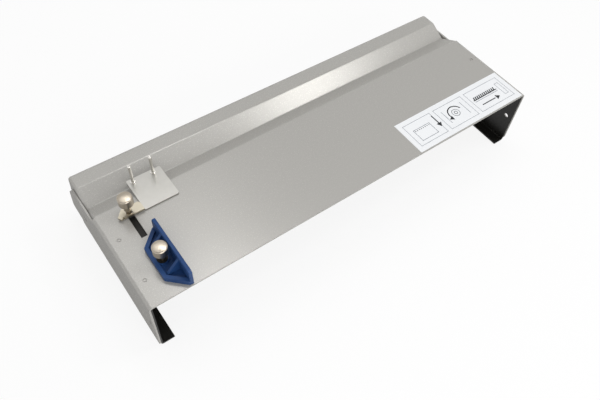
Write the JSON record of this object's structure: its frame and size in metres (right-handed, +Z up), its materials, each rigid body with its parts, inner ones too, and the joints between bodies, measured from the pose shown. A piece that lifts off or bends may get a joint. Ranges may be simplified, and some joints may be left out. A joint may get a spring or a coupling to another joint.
{
  "type": "coil binding machine",
  "caption": "Manual coil inserting table with a trough, sliding index pins on a carriage and a blue side guide, each clamped by a thumbscrew.",
  "frame": {"origin": "on the desk, under the centre of the machine's box", "axes": "+X along the trough, +Y to the rear, +Z up"},
  "size_m": [0.419, 0.1666, 0.0937],
  "materials": {
    "grey_powder_coat": "satin powder coat",
    "black_powder_coat": "matt powder coat",
    "black_rubber": "matt",
    "white_label": "satin film",
    "plated_steel": "zinc plated",
    "bright_nickel": "nickel plated",
    "black_oxide": "black oxide",
    "blue_plastic": "fine moulded grain"
  },
  "bodies": {
    "frame": {"folded_table": "grey_powder_coat", "left_leg": "black_powder_coat", "right_leg": "black_powder_coat", "left_leg_rivets": "grey_powder_coat", "right_leg_rivets": "grey_powder_coat", "front_left_foot": "black_rubber", "front_right_foot": "black_rubber", "rear_left_foot": "black_rubber", "rear_right_foot": "black_rubber", "step_label": "white_label"},
    "carriage": {"pin_plate": "plated_steel", "left_index_pin": "bright_nickel", "right_index_pin": "bright_nickel", "pointer_plate": "bright_nickel", "slot_key": "plated_steel", "nut_bar": "black_oxide"},
    "carriage_thumbscrew": {"carriage_knob": "bright_nickel", "carriage_stud": "plated_steel"},
    "guide": {"side_guide": "blue_plastic", "guide_top_washer": "black_oxide", "guide_low_washer": "plated_steel", "guide_nut": "plated_steel"},
    "guide_thumbscrew": {"guide_knob": "bright_nickel", "guide_stud": "plated_steel"}
  },
  "joints": [
    {"name": "carriage_slide", "type": "slide", "parent": "frame", "child": "carriage", "axis": [0, 1, 0], "range_m": [-0.02, 0.003]},
    {"name": "carriage_knob_turn", "type": "hinge", "parent": "carriage", "child": "carriage_thumbscrew", "pos_m": [-0.1815, 0.00303, 0.0935], "axis": [0, 0, 1], "range_deg": [0, 360]},
    {"name": "guide_slide", "type": "slide", "parent": "frame", "child": "guide", "axis": [1, 0, 0], "range_m": [-0.0035, 0.0035]},
    {"name": "guide_knob_turn", "type": "hinge", "parent": "guide", "child": "guide_thumbscrew", "pos_m": [-0.1806, -0.05251, 0.0935], "axis": [0, 0, 1], "range_deg": [0, 360]}
  ]
}
